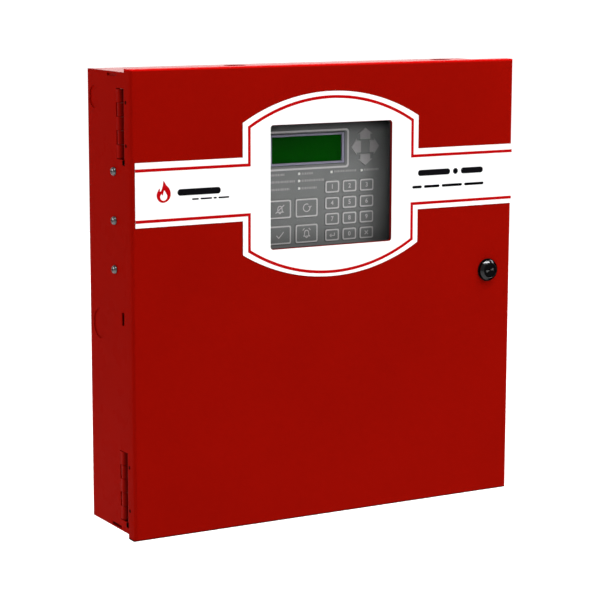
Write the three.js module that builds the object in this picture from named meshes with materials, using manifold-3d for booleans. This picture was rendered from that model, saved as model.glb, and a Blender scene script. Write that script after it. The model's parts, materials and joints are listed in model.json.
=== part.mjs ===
// Wall-mounted fire alarm control panel: a red sheet-steel cabinet with a hinged, windowed door,
// an inner display and keypad, and the electronics and batteries behind it.
// Millimetres. +Z is up, the back face lies on Y = 0, and the front of the door faces -Y.

import * as THREE from 'three';
import { mergeVertices } from 'three/addons/utils/BufferGeometryUtils.js';
import Module from 'manifold-3d';

const wasm = await Module();
wasm.setup();

// ---------------------------------------------------------------- driving dimensions

const DOOR = { width: 414, height: 432, depth: 96, flange: 13.7, bend: 3 };
const SHEET = 1.2;
const GAP = 0.3;
const BOX = { left: -205.3, right: 204.6, top: 212.5, bottom: -212.5, front: 2.8 };
const WINDOW = { left: -65.2, right: 66.6, bottom: 45.7, top: 161.2, corner: 3, lip: 5 };
const LENS = { margin: 9, thickness: 3 };
const GASKET = { outer: 14, inner: 5, end: 11 };
const HINGE = { x: -200.3, depth: 30.5, barrel: 5, pin: 2, bore: 2.35, leaf: 1.4, knuckles: 5 };
const HINGE_SPANS = { upper: [134, 198], lower: [-202, -136] };
const HINGE_LEAF = { boxEnd: 56, doorStart: 3.2, doorEnd: 17.7, shoulder: 15 };
const HINGE_CUTOUT = 34.2;
const HINGE_NOTCH = { depth: [14.4, 20.5], height: 5 };
const RIVET_HOLE = { radius: 1.2, depth: 10.7, fromBottom: 13.4, fromTop: 11.8 };
const LOCK = { x: 179.6, z: 9, head: 10.2, face: 7.4, proud: 5.4, barrel: 9, plug: 6.9, length: 22.5 };
const LOCK_RING = { radius: 11.3, edge: 11, front: 0.8, shoulder: 0.5 };
const LOCK_NUT = { radius: 13.2, end: 6 };
const KEYWAY = { halfLength: 4, halfWidth: 0.9, end: 2 };
const CAM = { front: 23.9, thickness: 2, width: 14, reach: 20 };
const CAM_SCREW = { head: 4, rise: 2, shank: 2, bore: 2.4, seat: 2.3, start: 19 };
const STRIKE = { halfHeight: 24, depth: [20, 44], lip: 190.5 };
const LABEL = { bandTop: 132.9, bandBottom: 74.2, left: -203.6, right: 206.2, thickness: 0.2 };
const SHIELD = { x: 1, halfWidth: 95.5, shoulder: 61.1, apex: 87.4, centre: 103.6 };
const DISPLAY = { depth: 20, left: -86, right: 88, bottom: 34, top: 168, overlay: 0.8 };
const LCD = { left: -52.9, right: 23.1, bottom: 122.9, top: 148.1, frameX: 2.8, frameZ: 2, end: 24.6 };
const BRACKET = {
  left: -188, right: 110, bottom: 22, top: 180, earTop: 130, flange: 10, earEnd: 52,
  sideMargin: 14, endMargin: 6, postColumns: [-78, 82], postRows: [42, 160],
};
const DISPLAY_BOARD = {
  x: [-82, 86], z: [38, 164], front: 25, thickness: 1.6, switchSize: 6, switchRise: 0.6,
};
const KEY = { width: 15.8, height: 11.8, corner: 2, proud: 0.4, depth: 4, clearance: 0.3 };
const KEYPAD = { columns: [12.7, 31.9, 51], rows: [98.5, 82.9, 67.7, 52.3] };
const FUNCTION_KEY = { width: 24.6, height: 18, columns: [-44.4, -15.4], rows: [80, 55.5] };
const ARROWS = {
  x: 49.2, z: 135.3, baseX: 4.8, tipX: 15.5, baseZ: 7.1, tipZ: 18, shaft: 5.6, head: 8.2, point: 6,
};
const BATTERY = { width: 151, depth: 65, height: 94, floor: -209.9, gap: 8 };
const BATTERY_BACK = -SHEET - 2 * GAP;
const TERMINAL = { width: 6.4, thickness: 0.8, height: 6, inset: 14 };
const BOARD = { left: -70, right: 190, bottom: -92, top: 160, back: 11.4, thickness: 1.6 };
const BOARD_PARTS = [
  { x: [120, 172], front: -38, z: [-60, -52] },
  { x: [-50, -22], front: -31, z: [-70, -50] },
  { x: [20, 78], front: -24, z: [-6, 44] },
];
const STANDOFF = { radius: 3.5, inset: 8 };
const TERMINAL_STRIP = { pitch: 10, rise: 18, sill: 6, shelf: 9, height: 11, notch: 4.4 };
const TRANSFORMER = { x: [-192, -112], y: [-56, -6], z: [-84, -28], foot: 7, coil: 14, corner: 8 };
const KEYHOLE = { columns: [-150, 150], rows: [-100, 176], head: 6, neck: 3, rise: 13 };
const SIDE_KNOCKOUTS = [
  { radius: 10.5, z: 187.2, leftDepth: 82.3, rightDepth: 78 },
  { radius: 14, z: -23.4, leftDepth: 75.5, rightDepth: 75.5 },
];
const END_KNOCKOUT = { radius: 11, columns: [-62, 172], depth: 76 };
const CABLE_SLOT = { depth: [22, 27], height: [-17.8, -6] };

const LED_COLUMNS = { left: -58.5, middle: -23.3, right: 12, far: 45.6 };
const LED_ROWS = [112.6, 105.8, 98.7];
const LIGHT = { halfWidth: 1.1, halfHeight: 1, bodyStart: 22.8, bodyEnd: 24.6, border: 2 };
const SCREW_HEIGHTS = [122.2, 77.2, 32.2];
const SCREW = { depth: 39.7, hole: 2.3, shank: 1.95, length: 9, slot: 2.2, slotWidth: 0.45 };
const SCREW_HEAD = [[0, 0], [4.1, 0], [3.8, 1.4], [3, 2.4], [1.6, 3], [0, 3.1]];

// ---------------------------------------------------------------- materials

function finish(name, color, roughness, metalness) {
  return new THREE.MeshStandardMaterial({ name, color, roughness, metalness });
}

const RED_PAINT = finish('red paint', 0x9a1210, 0.35, 0.1);
const WHITE_VINYL = finish('white vinyl', 0xf6f6f4, 0.4, 0);
const CLEAR_ACRYLIC = finish('clear acrylic', 0xe8eeee, 0.05, 0);
const BLACK_RUBBER = finish('black rubber', 0x161616, 0.8, 0);
const CHROME = finish('chrome', 0xd8dadc, 0.12, 1);
const BLACK_PLASTIC = finish('black plastic', 0x101012, 0.35, 0);
const ZINC = finish('zinc plate', 0xb8bbbb, 0.4, 0.9);
const GREY_FILM = finish('grey film', 0x737674, 0.55, 0);
const KEY_FILM = finish('key film', 0x6c6f6d, 0.5, 0);
const LCD_FRAME = finish('display frame', 0x77748a, 0.4, 0.3);
const LCD_GREEN = finish('display green', 0x044206, 0.2, 0);
const LIGHT_GUIDE = finish('light guide', 0xe6e6e2, 0.3, 0);
const BOARD_GREEN = finish('circuit board', 0x14502c, 0.5, 0);
const TERMINAL_GREEN = finish('terminal block', 0x1f7a45, 0.5, 0);
const BATTERY_CASE = finish('battery case', 0x26282b, 0.6, 0);
const CORE_STEEL = finish('core steel', 0x55585c, 0.5, 0.7);
const RED_WIRE = finish('red wire', 0xb01818, 0.5, 0);
const BLACK_WIRE = finish('black wire', 0x151515, 0.5, 0);

// ---------------------------------------------------------------- solids and booleans

const GRID = 0.001;

// Coordinates snap to a fine grid, so that faces meant to be level with each other are exactly level.
function toSolid(shape) {
  if (shape instanceof wasm.Manifold) return shape;
  const bare = shape.clone();
  bare.deleteAttribute('normal');
  bare.deleteAttribute('uv');
  bare.attributes.position.array.forEach((value, index, array) => {
    array[index] = Math.round(value / GRID) * GRID;
  });
  const merged = mergeVertices(bare, GRID / 10);
  const vertProperties = new Float32Array(merged.attributes.position.array);
  const triVerts = new Uint32Array(merged.index.array);
  return new wasm.Manifold(new wasm.Mesh({ numProp: 3, vertProperties, triVerts }));
}

function toGeometry(shape) {
  const mesh = toSolid(shape).getMesh();
  const geometry = new THREE.BufferGeometry();
  geometry.setAttribute('position', new THREE.BufferAttribute(mesh.vertProperties, 3));
  geometry.setIndex(new THREE.BufferAttribute(mesh.triVerts, 1));
  geometry.computeVertexNormals();
  return geometry;
}

function join(...shapes) {
  return shapes.map(toSolid).reduce((whole, piece) => whole.add(piece));
}

function cut(body, ...tools) {
  return tools.map(toSolid).reduce((left, tool) => left.subtract(tool), toSolid(body));
}

function common(a, b) {
  return toSolid(a).intersect(toSolid(b));
}

// Y of a plane that lies the given distance behind the door's front face.
function behind(distance) {
  return distance - DOOR.depth;
}

function block([x0, x1], [y0, y1], [z0, z1]) {
  const geometry = new THREE.BoxGeometry(x1 - x0, y1 - y0, z1 - z0);
  return geometry.translate((x0 + x1) / 2, (y0 + y1) / 2, (z0 + z1) / 2);
}

function rodX(radius, [x0, x1], y, z, sides = 24) {
  const geometry = new THREE.CylinderGeometry(radius, radius, x1 - x0, sides);
  return geometry.rotateZ(-Math.PI / 2).translate((x0 + x1) / 2, y, z);
}

function rodY(radius, [y0, y1], x, z, sides = 24) {
  const geometry = new THREE.CylinderGeometry(radius, radius, y1 - y0, sides);
  return geometry.translate(x, (y0 + y1) / 2, z);
}

function rodZ(radius, [z0, z1], x, y, sides = 24) {
  const geometry = new THREE.CylinderGeometry(radius, radius, z1 - z0, sides);
  return geometry.rotateX(Math.PI / 2).translate(x, y, (z0 + z1) / 2);
}

// A shape drawn in X and Z, given a thickness along Y.
function plateXZ(shape, [y0, y1], curveSegments = 4) {
  const geometry = new THREE.ExtrudeGeometry(shape, { depth: y1 - y0, bevelEnabled: false, curveSegments });
  return geometry.rotateX(Math.PI / 2).translate(0, y1, 0);
}

// A shape drawn in X and Y, given a height along Z.
function prismXY(shape, [z0, z1], curveSegments = 5) {
  const geometry = new THREE.ExtrudeGeometry(shape, { depth: z1 - z0, bevelEnabled: false, curveSegments });
  return geometry.translate(0, 0, z0);
}

// A shape drawn in Y and Z, given a width along X.
function prismYZ(shape, [x0, x1], curveSegments = 5) {
  const geometry = new THREE.ExtrudeGeometry(shape, { depth: x1 - x0, bevelEnabled: false, curveSegments });
  return geometry.rotateX(Math.PI / 2).rotateZ(Math.PI / 2).translate(x0, 0, 0);
}

function roundedRectangle(left, right, bottom, top, corner) {
  const shape = new THREE.Shape();
  shape.moveTo(left + corner, bottom);
  shape.absarc(right - corner, bottom + corner, corner, -Math.PI / 2, 0);
  shape.absarc(right - corner, top - corner, corner, 0, Math.PI / 2);
  shape.absarc(left + corner, top - corner, corner, Math.PI / 2, Math.PI);
  shape.absarc(left + corner, bottom + corner, corner, Math.PI, 1.5 * Math.PI);
  return shape;
}

function polygon(points) {
  return new THREE.Shape(points.map(([u, v]) => new THREE.Vector2(u, v)));
}

function grown([low, high], margin) {
  return [low - margin, high + margin];
}

function part(name, shape, material) {
  const mesh = new THREE.Mesh(toGeometry(shape), material);
  mesh.name = name;
  return mesh;
}

// ---------------------------------------------------------------- cabinet sheet metal

const WALL = { left: BOX.left + SHEET, right: BOX.right - SHEET };
const TAB_SLOT = { depth: [33, 53], height: 2.5, inset: 2.9 };
const KNOCKOUT_TAB = 3;
const DISC_OVERLAP = 0.2;
const SIDE_FLANGE = 9.5;
const FRONT_LIP = 8;

// Half-punched disc: a hole, and a disc set one sheet thickness inwards that still bridges its rim.
function knockoutInSide(wall, face, inward, radius, y, z) {
  const outer = Math.min(face, face + inward * SHEET);
  const hole = rodX(radius, [outer - 1, outer + SHEET + 1], y, z, 28);
  const near = face + inward * (SHEET - DISC_OVERLAP);
  const far = near + inward * SHEET;
  const disc = rodX(radius + GAP, [Math.min(near, far), Math.max(near, far)], y, z, 28);
  const bridge = block(
    [outer, outer + SHEET],
    [y + radius - 1.2, y + radius + 0.6],
    grown([z, z], KNOCKOUT_TAB / 2),
  );
  return join(cut(wall, hole), disc, bridge);
}

function keyhole(x, z) {
  const { head, neck, rise } = KEYHOLE;
  const through = [-SHEET - 1, 1];
  return join(
    rodY(head, through, x, z, 16),
    block([x - neck, x + neck], through, [z, z + rise]),
    rodY(neck, through, x, z + rise, 12),
  );
}

function backboxWrap() {
  const front = behind(BOX.front);
  const shell = block([BOX.left, BOX.right], [front, 0], [BOX.bottom, BOX.top]);
  const inside = block([WALL.left, WALL.right], [front - 1, -SHEET], [BOX.bottom - 1, BOX.top + 1]);
  const leftWall = [BOX.left - 1, WALL.left + 1];
  const rightWall = [WALL.right - 1, BOX.right + 1];
  const tools = [inside];
  for (const [bottom, top] of Object.values(HINGE_SPANS)) {
    tools.push(block(leftWall, [front - 1, behind(HINGE_CUTOUT)], [bottom, top]));
    tools.push(block(leftWall, HINGE_NOTCH.depth.map(behind), [bottom - HINGE_NOTCH.height, bottom + 1]));
  }
  for (const wall of [leftWall, rightWall]) {
    for (const edge of [BOX.top - TAB_SLOT.inset, BOX.bottom + TAB_SLOT.inset]) {
      const span = grown([edge, edge], TAB_SLOT.height / 2);
      tools.push(block(wall, TAB_SLOT.depth.map(behind), span));
    }
  }
  tools.push(block(leftWall, CABLE_SLOT.depth.map(behind), CABLE_SLOT.height));
  for (const height of SCREW_HEIGHTS) {
    tools.push(rodX(SCREW.hole, leftWall, behind(SCREW.depth), height, 16));
  }
  for (const x of KEYHOLE.columns) {
    for (const z of KEYHOLE.rows) tools.push(keyhole(x, z));
  }
  let wrap = cut(shell, ...tools);
  for (const { radius, z, leftDepth, rightDepth } of SIDE_KNOCKOUTS) {
    wrap = knockoutInSide(wrap, BOX.left, 1, radius, behind(leftDepth), z);
    wrap = knockoutInSide(wrap, BOX.right, -1, radius, behind(rightDepth), z);
  }
  const standoffs = [];
  for (const x of grown([BOARD.left, BOARD.right], -STANDOFF.inset)) {
    for (const z of grown([BOARD.bottom, BOARD.top], -STANDOFF.inset)) {
      standoffs.push(rodY(STANDOFF.radius, [GAP - BOARD.back, -SHEET / 2], x, z, 12));
    }
  }
  return join(wrap, ...standoffs);
}

// Top and bottom share one design: a plate with side flanges, a front lip and half-punched knockouts.
function endPanel(sign, flangeStart) {
  const outer = sign * BOX.top;
  const inner = sign * (BOX.top - SHEET);
  const level = (a, b) => [Math.min(a, b), Math.max(a, b)];
  const xs = [WALL.left + GAP, WALL.right - GAP];
  const ys = [behind(BOX.front), -SHEET - GAP];
  const sideDepth = [behind(flangeStart), ys[1]];
  let panel = join(
    block(xs, ys, level(inner, outer)),
    block([xs[0], xs[0] + SHEET], sideDepth, level(outer, sign * (BOX.top - SIDE_FLANGE))),
    block([xs[1] - SHEET, xs[1]], sideDepth, level(outer, sign * (BOX.top - SIDE_FLANGE))),
    block(xs, [ys[0], ys[0] + SHEET], level(outer, sign * (BOX.top - FRONT_LIP))),
  );
  const { radius, columns, depth } = END_KNOCKOUT;
  const y = behind(depth);
  for (const x of columns) {
    const hole = rodZ(radius, level(inner - sign, outer + sign), x, y, 24);
    const sunk = level(inner + sign * DISC_OVERLAP, inner - sign * (SHEET - DISC_OVERLAP));
    const disc = rodZ(radius + GAP, sunk, x, y, 24);
    const bridge = block(
      grown([x, x], KNOCKOUT_TAB / 2),
      [y + radius - 1.2, y + radius + 0.6],
      level(inner, outer),
    );
    panel = join(cut(panel, hole), disc, bridge);
  }
  return panel;
}

// ---------------------------------------------------------------- hinges

const HINGE_Y = behind(HINGE.depth);

function knuckleSpans([bottom, top], parity) {
  const low = bottom + 0.6;
  const pitch = (top - bottom - 1.2) / HINGE.knuckles;
  const spans = [];
  for (let index = parity; index < HINGE.knuckles; index += 2) {
    spans.push([low + index * pitch + 0.2, low + (index + 1) * pitch - 0.2]);
  }
  return spans;
}

function boxLeaf(span) {
  const plateX = [WALL.left + GAP, WALL.left + GAP + HINGE.leaf];
  const plateStart = HINGE_Y + HINGE.barrel + 2 * GAP;
  const pieces = [block(plateX, [plateStart, behind(HINGE_LEAF.boxEnd)], grown(span, -0.5))];
  for (const knuckle of knuckleSpans(span, 0)) {
    pieces.push(rodZ(HINGE.barrel, knuckle, HINGE.x, HINGE_Y, 20));
    pieces.push(block(plateX, [HINGE_Y, HINGE_Y + HINGE.barrel + 1], knuckle));
    pieces.push(block([HINGE.x - HINGE.barrel, plateX[1]], [HINGE_Y, behind(HINGE_CUTOUT) - GAP], knuckle));
  }
  return cut(join(...pieces), rodZ(HINGE.bore, grown(span, 1), HINGE.x, HINGE_Y, 12));
}

// The arm cranks inwards ahead of the barrel, to clear the cabinet's edge when the door is fully open.
function doorLeaf(span) {
  const { doorStart, doorEnd, shoulder } = HINGE_LEAF;
  const outer = -DOOR.width / 2 + SHEET + GAP;
  const inner = outer + HINGE.leaf;
  const plate = block([outer, inner], [behind(doorStart), behind(doorEnd)], grown(span, -0.5));
  const arm = polygon([
    [outer, behind(shoulder)],
    [inner, behind(shoulder)],
    [inner, behind(doorEnd) - HINGE.leaf],
    [HINGE.x + 0.6, behind(doorEnd) - HINGE.leaf],
    [HINGE.x + 0.6, HINGE_Y - 4.5],
    [HINGE.x - 1, HINGE_Y - 4.5],
    [HINGE.x - 1, behind(doorEnd) + 0.2],
    [outer, behind(doorEnd)],
  ]);
  const pieces = [plate];
  for (const knuckle of knuckleSpans(span, 1)) {
    pieces.push(rodZ(HINGE.barrel, knuckle, HINGE.x, HINGE_Y, 20));
    pieces.push(prismXY(arm, knuckle));
  }
  return cut(join(...pieces), rodZ(HINGE.bore, grown(span, 1), HINGE.x, HINGE_Y, 12));
}

function hingePin(span) {
  return rodZ(HINGE.pin, grown(span, -0.6), HINGE.x, HINGE_Y, 12);
}

// ---------------------------------------------------------------- door

function roundedFront([low, high], depth, bend, flangeDepth) {
  const shape = new THREE.Shape();
  shape.moveTo(low, behind(flangeDepth));
  shape.lineTo(low, behind(depth + bend));
  shape.absarc(low + bend, behind(depth + bend), bend, Math.PI, 1.5 * Math.PI);
  shape.absarc(high - bend, behind(depth + bend), bend, 1.5 * Math.PI, 2 * Math.PI);
  shape.lineTo(high, behind(flangeDepth));
  return shape;
}

function tray(halfWidth, halfHeight, depth, bend, flangeDepth) {
  const plan = roundedFront([-halfWidth, halfWidth], depth, bend, flangeDepth);
  const section = new THREE.Shape(
    roundedFront([-halfHeight, halfHeight], depth, bend, flangeDepth)
      .getPoints(5)
      .map((point) => new THREE.Vector2(point.y, point.x)),
  );
  return common(
    prismXY(plan, [-halfHeight, halfHeight]),
    prismYZ(section, [-halfWidth, halfWidth]),
  );
}

function windowOpening(margin, corner, span) {
  const { left, right, bottom, top } = WINDOW;
  const outline = roundedRectangle(left - margin, right + margin, bottom - margin, top + margin, corner);
  return plateXZ(outline, span);
}

function doorPan() {
  const halfWidth = DOOR.width / 2;
  const halfHeight = DOOR.height / 2;
  const outer = tray(halfWidth, halfHeight, 0, DOOR.bend, DOOR.flange);
  const innerBend = DOOR.bend - SHEET;
  const inner = tray(halfWidth - SHEET, halfHeight - SHEET, SHEET, innerBend, DOOR.flange + 1);
  const lip = windowOpening(SHEET, WINDOW.corner + SHEET, [behind(0.4), behind(WINDOW.lip)]);
  const tools = [
    windowOpening(0, WINDOW.corner, [behind(-1), behind(WINDOW.lip + 1)]),
    rodY(LOCK.barrel + GAP, [behind(-1), behind(3)], LOCK.x, LOCK.z, 32),
  ];
  for (const [bottom, top] of Object.values(HINGE_SPANS)) {
    for (const height of [bottom + RIVET_HOLE.fromBottom, top - RIVET_HOLE.fromTop]) {
      const flange = [-halfWidth - 1, -halfWidth + SHEET + 0.1];
      tools.push(rodX(RIVET_HOLE.radius, flange, behind(RIVET_HOLE.depth), height, 12));
    }
  }
  return cut(join(cut(outer, inner), lip), ...tools);
}

function shieldOutline() {
  const { x, halfWidth, shoulder, apex, centre } = SHIELD;
  const rise = apex - shoulder;
  const radius = (halfWidth ** 2 + rise ** 2) / (2 * rise);
  const half = Math.asin(halfWidth / radius);
  const shape = new THREE.Shape();
  shape.absarc(x, centre + apex - radius, radius, Math.PI / 2 - half, Math.PI / 2 + half);
  shape.absarc(x, centre - apex + radius, radius, 1.5 * Math.PI - half, 1.5 * Math.PI + half);
  return shape;
}

function doorLabel() {
  const span = [behind(-GAP - LABEL.thickness), behind(-GAP)];
  const band = block([LABEL.left, LABEL.right], span, [LABEL.bandBottom, LABEL.bandTop]);
  const shield = plateXZ(shieldOutline(), span, 16);
  return cut(join(band, shield), windowOpening(0.3, WINDOW.corner, grown(span, 1)));
}

function windowLens() {
  const front = WINDOW.lip + GAP;
  return windowOpening(LENS.margin, 4, [behind(front), behind(front + LENS.thickness)]);
}

function windowGasket() {
  const pocketEnd = WINDOW.lip + 2 * GAP + LENS.thickness;
  const ring = windowOpening(GASKET.outer, 6, [behind(SHEET + GAP), behind(GASKET.end)]);
  const lensPocket = windowOpening(LENS.margin + GAP, 4.3, [behind(0), behind(pocketEnd)]);
  const view = windowOpening(GASKET.inner, 4, [behind(0), behind(GASKET.end + 1)]);
  return cut(ring, lensPocket, view);
}

// ---------------------------------------------------------------- lock

// Turned piece about the lock axis; the profile runs in radius and depth behind the door face.
function turned(profile, segments = 24) {
  const points = profile.map(([radius, depth]) => new THREE.Vector2(radius, behind(depth)));
  return new THREE.LatheGeometry(points, segments).translate(LOCK.x, 0, LOCK.z);
}

function lockBody() {
  const { head, face, proud, barrel, length } = LOCK;
  const bore = LOCK.plug + GAP;
  const seat = -LOCK_RING.front - GAP;
  return turned([
    [bore, length],
    [bore, -proud],
    [face, -proud],
    [face + 1.4, -proud + 0.5],
    [head - 0.5, -proud + 1.9],
    [head, -proud + 2.6],
    [head, seat],
    [barrel, seat],
    [barrel, length],
    [bore, length],
  ]);
}

function lockTrimRing() {
  const { radius, edge, front, shoulder } = LOCK_RING;
  const bore = LOCK.barrel + GAP;
  return turned([
    [bore, -GAP],
    [bore, -front],
    [edge, -front],
    [radius, -shoulder],
    [radius, -GAP],
    [bore, -GAP],
  ]);
}

function lockNut() {
  const hexagon = rodY(LOCK_NUT.radius, [behind(SHEET + GAP), behind(LOCK_NUT.end)], LOCK.x, LOCK.z, 6);
  const bore = rodY(LOCK.barrel + GAP, [behind(0), behind(LOCK_NUT.end + 1)], LOCK.x, LOCK.z, 32);
  return cut(hexagon, bore);
}

function lockPlug() {
  const { x, z, plug, proud } = LOCK;
  const cylinder = rodY(plug, [behind(0.6 - proud), behind(CAM.front - GAP)], x, z, 32);
  const keyway = block(
    grown([x, x], KEYWAY.halfLength),
    [behind(-proud - 1), behind(KEYWAY.end)],
    grown([z, z], KEYWAY.halfWidth),
  );
  const screwHole = rodY(CAM_SCREW.seat, [behind(CAM_SCREW.start - 1), behind(CAM.front + 1)], x, z, 16);
  return cut(cylinder, keyway, screwHole);
}

function lockCam() {
  const { front, thickness, width, reach } = CAM;
  const half = width / 2;
  const outline = roundedRectangle(LOCK.x - half, LOCK.x + half, LOCK.z - half, LOCK.z + reach, half - 0.5);
  const plate = plateXZ(outline, [behind(front), behind(front + thickness)]);
  const through = [behind(front - 1), behind(front + thickness + 1)];
  return cut(plate, rodY(CAM_SCREW.bore, through, LOCK.x, LOCK.z, 16));
}

function lockCamScrew() {
  const seat = CAM.front + CAM.thickness + GAP;
  return join(
    rodY(CAM_SCREW.head, [behind(seat), behind(seat + CAM_SCREW.rise)], LOCK.x, LOCK.z, 16),
    rodY(CAM_SCREW.shank, [behind(CAM_SCREW.start), behind(seat + 1)], LOCK.x, LOCK.z, 16),
  );
}

function lockStrike() {
  const height = grown([LOCK.z, LOCK.z], STRIKE.halfHeight);
  const wall = WALL.right - GAP;
  const [front, back] = STRIKE.depth;
  return join(
    block([wall - SHEET, wall], [behind(front), behind(back)], height),
    block([STRIKE.lip, wall], [behind(front), behind(front + 1.5)], height),
  );
}

// ---------------------------------------------------------------- display and keypad

function keySpan(width, x, margin = 0) {
  return [x - width / 2 - margin, x + width / 2 + margin];
}

function keyOutline(width, height, x, z, margin = 0) {
  const [left, right] = keySpan(width, x, margin);
  const [bottom, top] = keySpan(height, z, margin);
  return roundedRectangle(left, right, bottom, top, KEY.corner + margin);
}

// Arrow pointing along the given unit direction, drawn round the arrow pad's centre.
function arrowOutline([dx, dz], margin = 0) {
  const along = dx !== 0;
  const base = (along ? ARROWS.baseX : ARROWS.baseZ) - margin;
  const tip = (along ? ARROWS.tipX : ARROWS.tipZ) + margin;
  const neck = tip - ARROWS.point - margin;
  const shaft = ARROWS.shaft + margin;
  const head = ARROWS.head + margin;
  const profile = [
    [base, -shaft],
    [neck, -shaft],
    [neck, -head],
    [tip, 0],
    [neck, head],
    [neck, shaft],
    [base, shaft],
  ];
  return polygon(profile.map(([forward, side]) => [
    ARROWS.x + forward * dx - side * dz,
    ARROWS.z + forward * dz + side * dx,
  ]));
}

const ARROW_KEYS = { up: [0, 1], down: [0, -1], left: [-1, 0], right: [1, 0] };
const FUNCTION_KEYS = ['silence', 'reset', 'acknowledge', 'drill'];
const PAD_KEYS = ['1', '2', '3', '4', '5', '6', '7', '8', '9', 'enter', '0', 'clear'];

// Every key as its node name and a function that draws its outline with a margin.
function keyList() {
  const keys = PAD_KEYS.map((label, index) => ({
    name: `key_${label}`,
    outline: (margin) => keyOutline(
      KEY.width,
      KEY.height,
      KEYPAD.columns[index % 3],
      KEYPAD.rows[Math.floor(index / 3)],
      margin,
    ),
  }));
  FUNCTION_KEYS.forEach((label, index) => keys.push({
    name: `key_${label}`,
    outline: (margin) => keyOutline(
      FUNCTION_KEY.width,
      FUNCTION_KEY.height,
      FUNCTION_KEY.columns[index % 2],
      FUNCTION_KEY.rows[Math.floor(index / 2)],
      margin,
    ),
  }));
  for (const [label, direction] of Object.entries(ARROW_KEYS)) {
    keys.push({ name: `key_arrow_${label}`, outline: (margin) => arrowOutline(direction, margin) });
  }
  return keys;
}

const KEYS = keyList();
const FRAME = {
  x: grown([LCD.left, LCD.right], LCD.frameX),
  z: grown([LCD.bottom, LCD.top], LCD.frameZ),
};

function ledPositions() {
  const { left, middle, right, far } = LED_COLUMNS;
  const rows = LED_ROWS.flatMap((z) => [[left, z], [middle, z]]);
  return [...rows, [right, LED_ROWS[0]], [far, LED_ROWS[0]]];
}

function keyPiece(key) {
  const front = DISPLAY.depth - KEY.proud;
  return plateXZ(key.outline(0), [behind(front), behind(front + KEY.depth)], 2);
}

function frameHole(margin, span) {
  return block(grown(FRAME.x, margin), span, grown(FRAME.z, margin));
}

function keypadOverlay() {
  const { left, right, bottom, top, depth, overlay } = DISPLAY;
  const outline = roundedRectangle(left, right, bottom, top, 4);
  const film = plateXZ(outline, [behind(depth), behind(depth + overlay)]);
  const through = [behind(depth - 1), behind(depth + overlay + 1)];
  const tools = KEYS.map((key) => plateXZ(key.outline(KEY.clearance), through, 2));
  tools.push(frameHole(0.6, through));
  for (const [x, z] of ledPositions()) {
    tools.push(block(grown([x, x], LIGHT.halfWidth + GAP), through, grown([z, z], LIGHT.halfHeight + GAP)));
  }
  return cut(film, ...tools);
}

// A flanged plate with an opening behind the keypad, and an ear that bends back along the left wall.
function displayBracket() {
  const { left, right, bottom, top, earTop, flange, earEnd } = BRACKET;
  const front = DISPLAY.depth + DISPLAY.overlay + GAP;
  const sheet = [behind(front), behind(front + SHEET)];
  const rim = [behind(front), behind(front + flange)];
  const earZ = [bottom, earTop];
  const wall = WALL.left + GAP;
  const posts = BRACKET.postColumns.flatMap((x) => BRACKET.postRows.map((z) => (
    rodY(2.5, [behind(front + 0.5), behind(DISPLAY_BOARD.front - GAP)], x, z, 12)
  )));
  const body = join(
    block([left, right], sheet, [bottom, top]),
    block([wall, left + 1], sheet, earZ),
    block([wall, wall + SHEET], [behind(front), behind(earEnd)], earZ),
    block([right - SHEET, right], rim, [bottom, top]),
    block([left, right], rim, [top - SHEET, top]),
    block([left, right], rim, [bottom, bottom + SHEET]),
    ...posts,
  );
  const opening = block(
    grown([DISPLAY.left, DISPLAY.right], -BRACKET.sideMargin),
    [behind(front - 1), behind(front + SHEET + 0.2)],
    grown([DISPLAY.bottom, DISPLAY.top], -BRACKET.endMargin),
  );
  const screwHoles = SCREW_HEIGHTS.map((height) => (
    rodX(SCREW.hole, [wall - 1, wall + SHEET + 1], behind(SCREW.depth), height, 16)
  ));
  return cut(body, opening, ...screwHoles);
}

// The board carries one push switch behind each key.
function displayBoard() {
  const { x, z, front, thickness, switchSize, switchRise } = DISPLAY_BOARD;
  const board = block(x, [behind(front), behind(front + thickness)], z);
  const switches = KEYS.map((key) => {
    const outline = new THREE.Box2().setFromPoints(key.outline(0).getPoints(2));
    const centre = outline.getCenter(new THREE.Vector2());
    return block(
      grown([centre.x, centre.x], switchSize / 2),
      [behind(front - switchRise), behind(front + 0.5)],
      grown([centre.y, centre.y], switchSize / 2),
    );
  });
  return join(board, ...switches);
}

function lcdBezel() {
  const span = [behind(DISPLAY.depth - 0.3), behind(LCD.end)];
  const opening = block([LCD.left, LCD.right], grown(span, 1), [LCD.bottom, LCD.top]);
  return cut(frameHole(0, span), opening);
}

function lcdGlass() {
  const span = [behind(DISPLAY.depth + 0.9), behind(LCD.end)];
  return block(grown([LCD.left, LCD.right], -GAP), span, grown([LCD.bottom, LCD.top], -GAP));
}

function ledLightGuide() {
  const { left, middle, far } = LED_COLUMNS;
  const [topRow, , bottomRow] = LED_ROWS;
  const { halfWidth, halfHeight, border } = LIGHT;
  const body = [behind(LIGHT.bodyStart), behind(LIGHT.bodyEnd)];
  const nose = [behind(DISPLAY.depth - 0.2), behind(LIGHT.bodyStart + 0.7)];
  return join(
    block(grown([left, middle], border), body, grown([bottomRow, topRow], border)),
    block([middle, far + border], body, grown([topRow, topRow], border)),
    ...ledPositions().map(([x, z]) => block(grown([x, x], halfWidth), nose, grown([z, z], halfHeight))),
  );
}

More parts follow.
